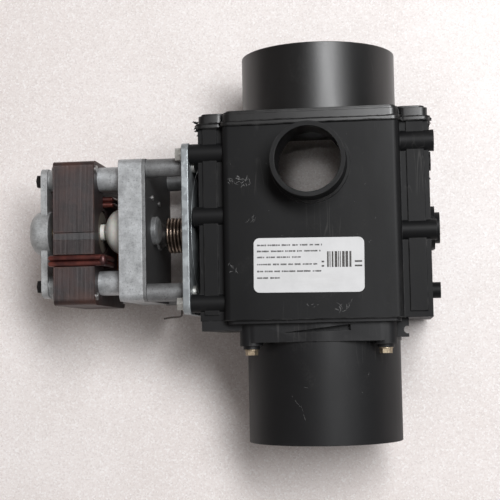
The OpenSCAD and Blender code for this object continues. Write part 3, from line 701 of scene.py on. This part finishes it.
# place in mm, direction, length in m, half width in m
SHARDS = [
    ((-63.6, 59.6, 38), (-1, 0.35, 0.3), 0.0034, 0.0011),
    ((-63.8, 58.6, 35), (-1, -0.1, 0.2), 0.0024, 0.0010),
    ((-63.9, 57.0, 40), (-0.8, -0.5, 0.3), 0.0022, 0.0009),
    ((-63.8, 55.6, 38), (-0.9, -0.3, 0.2), 0.0020, 0.0010),
    ((-63.2, 53.4, 37), (-1, -0.5, 0.1), 0.0017, 0.0008),
    ((-63.0, 60.4, 30), (-1, 0.6, 0), 0.0022, 0.0008),
    ((-63.9, 57.4, 22), (-1, 0.1, 0.1), 0.0018, 0.0009),
    ((-63.9, 56.4, -8), (-1, -0.2, 0.1), 0.0020, 0.0009),
    ((65.5, 57.2, 38), (1, -0.3, 0.3), 0.0016, 0.0009),
    ((65.5, 56.0, 40), (1, -0.2, 0.2), 0.0014, 0.0010),
    ((64.6, 53.4, 37), (1, 0.4, 0.2), 0.0015, 0.0008),
    ((64.6, 38.0, 39), (1, 0.3, 0.3), 0.0012, 0.0007),
    ((65.5, 57.6, 20), (1, 0.1, 0), 0.0014, 0.0008),
    ((64.6, 24.0, 38.5), (1, -1.2, 0.2), 0.0012, 0.0006),
]


def shard(bm, base, direction, length, width, seed, steps=5, sides=6):
    """A torn sliver of flash: a bent, tapering, ragged wedge."""
    draw = random.Random(seed).uniform
    d = Vector(direction).normalized()
    u = d.cross(Vector((0, 0.3, 1))).normalized()
    w = d.cross(u)
    rings = []
    for i in range(steps + 1):
        t = i / steps
        centre = (base + d * length * t + u * (0.25 * length * t * t * draw(-1, 1))
                  + w * (0.2 * length * t * draw(-1, 1)))
        size = width * (1 - t) ** 0.7 + 0.00006
        rings.append([bm.verts.new(centre + (u * math.cos(a) * size * draw(0.6, 1.2)
                                             + w * math.sin(a) * size * 0.55 * draw(0.6, 1.2)))
                      for a in [2 * math.pi * k / sides for k in range(sides)]])
    for low, high in zip(rings, rings[1:]):
        for k in range(sides):
            k2 = (k + 1) % sides
            bm.faces.new((low[k], low[k2], high[k2], high[k]))
    bm.faces.new(list(reversed(rings[0])))
    bm.faces.new(rings[-1])


bm = bmesh.new()
for i, (place, direction, length, width) in enumerate(SHARDS):
    shard(bm, at(*place), direction, length, width, seed=100 + i)
mesh = bpy.data.meshes.new("torn_flash")
bm.to_mesh(mesh)
bm.free()
new_obj("torn_flash", mesh, M["flash"], slot="housing_plastic", smooth=False)

# ------------------------------------------------------------------ scuffs and scratches
MARK_LIFT = 0.00004
# Patches of small marks on the face under the label, in mm in the row frame at z = 49:
# centre, side vector towards +X, side vector towards -Y,
#     count, mark length, half width[, angle[, taper of the patch along each side]]
PATCH_Z = 49
PATCHES = [
    ((-45.536, 146.069), (4.450, -0.158), (-0.070, -3.886), 7, 2.8, 0.10),
    ((-41.362, 146.199), (2.777, -0.099), (-0.082, -4.438), 8, 2.2, 0.14),
    ((-37.770, 145.239), (4.437, -0.157), (-0.094, -4.989), 10, 2.5, 0.15),
    ((-35.918, 126.086), (6.637, -0.212), (-0.106, -5.517), 5, 3.0, 0.07, 1.1),
    ((-46.690, 97.485), (6.088, -0.162), (-0.089, -4.943), 6, 2.2, 0.10),
    ((-3.227, 76.476), (7.065, -0.162), (-0.050, -2.169), 5, 1.8, 0.10),
    ((11.360, 74.247), (7.025, -0.159), (-0.146, -5.947), 9, 2.2, 0.12),
    ((17.097, 76.820), (4.315, -0.100), (-0.123, -4.864), 5, 2.6, 0.08, 1.2),
    ((28.474, 109.871), (2.696, -0.079), (-0.057, -2.173), 2, 1.0, 0.10),
    ((-6.201, 125.687), (83.163, -2.660), (-2.097, -93.287), 16, 1.1, 0.05, None,
     (0.015270, 0.010385)),
]
# Marks on the tube, x and y in mm in the row frame:
# first point, step, number of points, half width[, extra for each of k % 3]
TUBE_MARKS = [
    ((-13.931, 25.069), (0.7099, -0.8665), 5, 0.11, (-0.005, -0.217)),
    ((-10.640, 21.819), (0.4204, -1.0818), 4, 0.07),
    ((-9.348, 17.493), (0.2573, -0.8638), 5, 0.10),
    ((-8.737, 32.100), (0.8246, -0.2238), 4, 0.09),
    ((26.735, 39.471), (-0.2294, -0.5923), 4, 0.09),
    ((22.504, 28.738), (0.2064, -0.2792), 3, 0.12),
    ((-15.580, 27.238), (0.3329, -0.3255), 3, 0.10),
]
face_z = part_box("label_plate")[0].z
# carries a point from PATCH_Z along its line to the camera onto the face
FACE_SCALE = (CAMERA.z - face_z) / (CAMERA.z - PATCH_Z / 1000)


def up_normal(p):
    return Vector((0, 0, 1))


def tube_normal(p):
    return Vector((p.x, 0, p.z)).normalized()


def patch_marks(centre, across, down, count, length, half_width, angle=None, taper=(0, 0)):
    """Short bent marks scattered over one patch."""
    centre = Vector((*centre, PATCH_Z)) / 1000
    across, down = (Vector((*side, 0)) / 1000 for side in (across, down))
    marks = []
    for _ in range(count):
        s = rnd.uniform(0, 1) - 0.5
        t = rnd.uniform(0, 1) - 0.5
        turn = rnd.uniform(0, math.pi) if angle is None else angle + rnd.uniform(-0.35, 0.35)
        spot = centre + (across * s + down * t) / (1 + taper[0] * s + taper[1] * t)
        spot = CAMERA + (spot - CAMERA) * FACE_SCALE
        reach = length / 1000 * rnd.uniform(0.5, 1.3)
        bend = rnd.uniform(-0.5, 0.5)
        pts = []
        for k in range(6):
            along = k / 5 - 0.5
            a = turn + bend * along
            pts.append(spot + Vector((math.cos(a), math.sin(a), 0)) * (reach * along))
        marks.append((pts, up_normal, half_width / 1000 * rnd.uniform(0.6, 1.3)))
    return marks


def tube_mark(start, step, count, half_width, extra=(0, 0)):
    pts = []
    for k in range(count):
        x, y = ((start[i] + step[i] * k + extra[i] * (k % 3)) / 1000 for i in (0, 1))
        pts.append(Vector((x, y, math.sqrt(TUBE_RADIUS ** 2 - x * x))))
    return pts, tube_normal, half_width / 1000


def strokes(name, marks):
    """Flat ribbons. Each mark is (surface points, normal function, half width)."""
    verts, faces = [], []
    for pts, normal_at, half_width in marks:
        base = len(verts)
        n = len(pts)
        for i, p in enumerate(pts):
            normal = normal_at(p)
            side = (pts[min(i + 1, n - 1)] - pts[max(i - 1, 0)]).cross(normal).normalized()
            k = half_width * (0.25 + 0.75 * math.sin(math.pi * (i + 0.5) / n))
            k *= rnd.uniform(0.7, 1.2)
            q = p + normal * MARK_LIFT
            verts += [q - side * k, q + side * k]
        for a in range(base, base + 2 * (n - 1), 2):
            faces.append((a, a + 1, a + 3, a + 2))
    from_lists(name, verts, faces, M["scuff"], slot="housing_plastic", smooth=False)


marks = [mark for row in PATCHES for mark in patch_marks(*row)]
marks += [tube_mark(*row) for row in TUBE_MARKS]
strokes("surface_scuffs", marks)

# ------------------------------------------------------------------ label printing (plain bars, no lettering)
LABEL_TURN = math.radians(-0.8)
LABEL_CENTRE = at(-1.5, -22.3, 49.3)
LABEL_LEFT, LABEL_TOP = -30.6, 15.4
INK_HEIGHT = 0.00003
# distance below the label top, right end of the row, in mm
ROWS = [(4.8, 38.4), (8.1, 37.4), (11.4, 25.7), (15.3, 35.4), (19.1, 37.1), (22.7, 16.0)]


def on_label(x, y, height):
    """Label coordinates in mm from its centre; height in metres."""
    c, s = math.cos(LABEL_TURN), math.sin(LABEL_TURN)
    return LABEL_CENTRE + Vector(((x * c - y * s) / 1000, (x * s + y * c) / 1000, height))


def bars(name, rects, mat):
    """Raised bars, open below, from (x0, y0, x1, y1) rectangles."""
    verts, faces = [], []
    for x0, y0, x1, y1 in rects:
        b = len(verts)
        for height in (0.0, INK_HEIGHT):
            verts += [on_label(x, y, height) for x, y in ((x0, y0), (x1, y0), (x1, y1), (x0, y1))]
        faces += [(b + 4, b + 5, b + 6, b + 7), (b, b + 1, b + 5, b + 4),
                  (b + 1, b + 2, b + 6, b + 5), (b + 2, b + 3, b + 7, b + 6),
                  (b + 3, b, b + 4, b + 7)]
    from_lists(name, verts, faces, mat, slot="label_white", smooth=False)


def row_dashes():
    """Rows of dashes grouped like words, some joined to the next."""
    rects = []
    for drop, x_end in ROWS:
        x = 1.9
        y = LABEL_TOP - drop
        while x < x_end - 1:
            for _ in range(rnd.choice([2, 3, 4, 5, 6, 7])):
                w = rnd.choice([0.55, 0.8, 0.95, 1.1])
                if x + w > x_end:
                    break
                half = rnd.choice([0.75, 0.85, 0.95]) / 2
                join = 0.3 if rnd.random() < 0.55 else 0.0
                rects.append((x + LABEL_LEFT, y - half, x + w + join + LABEL_LEFT, y + half))
                x += w + 0.28
            x += 0.9
    return rects


def block_bars():
    """A block of upright bars with two short dashes on each side."""
    rects = []
    x = 9.6
    while x < 22.6:
        w = rnd.choice([0.5, 0.9, 1.4])
        rects.append((x, -1.7, min(x + w, 22.8), 6.9))
        x += w + rnd.choice([0.45, 0.7])
    for x0, x1 in ((6.6, 8.0), (24.6, 28.6)):
        rects += [(x0, -1.5, x1, -0.6), (x0, 0.9, x1, 1.8)]
    return rects


bars("label_rows", row_dashes(), M["ink"])
bars("label_block", block_bars(), M["ink_dark"])


# ------------------------------------------------------------------ return spring with its end hooks
def return_spring(x0=-87.4, x1=-74.9, radius=9.6, turns=6, per=40):
    """Coil about the stem axis; sizes in mm, per is points in a turn."""
    coil = []
    for i in range(turns * per + 1):
        t = i / (turns * per)
        a = math.radians(90) + 2 * math.pi * turns * t
        coil.append(Vector((x0 + (x1 - x0) * t, radius * math.cos(a), radius * math.sin(a))))
    head = [(-87.9, 6.2, 0.2), (-87.8, 8.6, 1.6), (-87.7, 8.9, 4.0), (-87.6, 6.0, 7.6),
            (-87.5, 3.0, 9.2)]
    tail = [(-75.0, 4.5, 9.9), (-75.6, 11.0, 5.0), (-76.8, 18.0, -5.0), (-77.8, 27.4, -17.4),
            (-78.0, 31.0, -28.0), (-78.0, 33.4, -26.7), (-78.0, 37.4, -26.5),
            (-78.0, 40.7, -29.2), (-78.0, 41.7, -32.9), (-78.0, 39.7, -36.8)]
    path = smooth_path(head)[:-1] + coil + smooth_path([coil[-1]] + tail)[1:]
    spring = tube("return_spring_wire", [at(*p) for p in path], 0.00098, M["spring"], 12,
                  body=None, slot="spring_steel")
    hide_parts("return_spring")
    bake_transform(spring)


return_spring()

# ------------------------------------------------------------------ retaining wire
WIRE = [(-73.9, -43.6, 39.4), (-74.0, -45.6, 39.2), (-74.1, -47.6, 39), (-74.6, -48.8, 39),
        (-76.4, -49.2, 39.1), (-80.0, -49.4, 39.2), (-84.2, -50.0, 39.4)]
wire = tube("retaining_wire_bent", smooth_path([at(*p) for p in WIRE]), 0.0005, M["wire"], 10,
            slot="spring_steel")
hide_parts("retaining_wire")

# ------------------------------------------------------------------ crimp that closes the shading rings
angles = [math.pi * k / 12 for k in range(13)]
tube("ring_crimp", [at(-119.4, -15.95 - 3.1 * math.cos(a), 37.4) for a in angles],
     [0.0022 * max(0.25, math.sin(a)) ** 0.6 for a in angles], M["crimp"], 16,
     slot=SLOT["shading_rings"])


# ------------------------------------------------------------------ coil winding: outer layer of wire
def winding_layer(wire=0.00042, corner=0.0022):
    """Wire wound about Y round a rounded rectangle; wire and corner are radii."""
    lo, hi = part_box("coil_winding")
    mid_x, mid_z = (lo.x + hi.x) / 2, (lo.z + hi.z) / 2
    half_x, half_z = (hi.x - lo.x) / 2 + wire * 0.4, (hi.z - lo.z) / 2 + wire * 0.4
    turns = int((hi.y - lo.y) / (2 * wire * 1.04))
    loop = []
    for sign_x, sign_z, start in ((1, 1, 0), (-1, 1, 90), (-1, -1, 180), (1, -1, 270)):
        for k in range(5):
            a = math.radians(start + 90 * k / 4)
            loop.append((mid_x + sign_x * (half_x - corner) + corner * math.cos(a),
                         mid_z + sign_z * (half_z - corner) + corner * math.sin(a)))
    pts = []
    for i in range(turns):
        for j, (x, z) in enumerate(loop):
            y = lo.y + wire + (hi.y - lo.y - 2 * wire) * (i + j / len(loop)) / turns
            pts.append(Vector((x, y, z)))
    tube("winding_wire_layer", pts, wire, M["winding"], 6, slot="winding_copper")


winding_layer()


# ------------------------------------------------------------------ stage: floor and light
def floor_mat():
    m = Mat("speckled_floor")
    big = m.noise(scale=3.0)
    mid = m.noise(scale=18, detail=4, rough=0.6)
    fine = m.noise(scale=620, rough=0.7)
    finest = m.noise(scale=1500, detail=2, rough=0.7)
    col = m.mix(m.rise(mid, lo=0.35, hi=0.7), (0.83, 0.775, 0.75), (0.90, 0.85, 0.83))
    col = m.tint(col, (0.66, 0.60, 0.57), m.rise(fine, lo=0.5, hi=0.7), amount=0.30)
    # pale flecks: partly the floor's own pale chips, partly painted sparkle highlights
    col = m.tint(col, (0.95, 0.94, 0.94), m.rise(finest, lo=0.56, hi=0.66), amount=0.7)
    col = m.tint(col, (0.76, 0.68, 0.65), m.rise(big, lo=0.45, hi=0.65), amount=0.22)
    # brightest cells: pale chips in the floor and painted sparkle highlights
    tone = m.cell_tone(scale=1150)
    col = m.tint(col, (1.0, 0.98, 0.97), m.rise(tone, lo=0.72, hi=1.0), amount=0.65)
    dark = m.rise(tone, lo=0.0, hi=0.3, start=1.0, end=0.0)
    col = m.tint(col, (0.60, 0.54, 0.52), dark, amount=0.36)
    m.bump(m.add(fine, finest), strength=0.2, dist=0.0002)
    return m.done(col, rough=0.42, spec=0.4)


bpy.ops.mesh.primitive_grid_add(x_subdivisions=8, y_subdivisions=8, size=6,
                                location=(0, 0.12, FLOOR_Z))
floor = bpy.context.object
floor.name = "floor"
floor.data.materials.append(floor_mat())


def aim(obj, loc, target):
    obj.location = loc
    obj.rotation_euler = (Vector(target) - obj.location).to_track_quat("-Z", "Y").to_euler()


def area(name, loc, target, size, power, color):
    light = bpy.data.lights.new(name, "AREA")
    light.shape = "RECTANGLE"
    light.size, light.size_y = size
    light.energy = power
    light.color = color
    aim(link_object(name, light), loc, target)


area("key", loc=(0.52, 0.50, 1.45), target=(0, 0.12, 0), size=(1.02, 0.42), power=26.5,
     color=(0.985, 0.99, 1.0))
area("fill", loc=(-0.9, -0.5, 1.2), target=(0, 0.1, 0), size=(1.4, 1.4), power=1.5,
     color=(1.0, 0.93, 0.90))
# light that falls through the overflow port onto the floor behind it
spot = bpy.data.lights.new("port_light", "SPOT")
spot.energy = 3.2
spot.spot_size = math.radians(2.6)
spot.spot_blend = 1.0
spot.shadow_soft_size = 0.004
aim(link_object("port_light", spot), CAMERA + Vector((-0.004, 0.006, 0.0)), at(1.0, 22.0, 68))


def room():
    """World: warm to cool across the room, brighter low down than overhead."""
    world = bpy.data.worlds.new("room")
    bpy.context.scene.world = world
    world.use_nodes = True
    nodes, link = world.node_tree.nodes, world.node_tree.links.new
    background = nodes["Background"]
    gradient = nodes.new("ShaderNodeTexGradient")
    coords = nodes.new("ShaderNodeTexCoord").outputs["Generated"]
    mapping = nodes.new("ShaderNodeMapping")
    mapping.inputs["Rotation"].default_value = (0, 0, math.radians(35))
    ramp = nodes.new("ShaderNodeValToRGB")
    ramp.color_ramp.elements[0].color = (0.62, 0.56, 0.535, 1)
    ramp.color_ramp.elements[1].color = (0.97, 0.98, 1.0, 1)
    link(coords, mapping.inputs[0])
    link(mapping.outputs[0], gradient.inputs[0])
    link(gradient.outputs[0], ramp.inputs[0])
    split = nodes.new("ShaderNodeSeparateXYZ")
    link(coords, split.inputs[0])
    strength = nodes.new("ShaderNodeMapRange")
    link(split.outputs[2], strength.inputs[0])
    # height from, height to, strength from, strength to
    for i, value in enumerate((0.55, 0.96, 0.30, 0.21), start=1):
        strength.inputs[i].default_value = value
    link(ramp.outputs[0], background.inputs[0])
    link(strength.outputs[0], background.inputs[1])


room()
bpy.context.scene.view_settings.view_transform = "Standard"
bpy.context.scene.view_settings.look = "None"

bpy.context.view_layer.update()
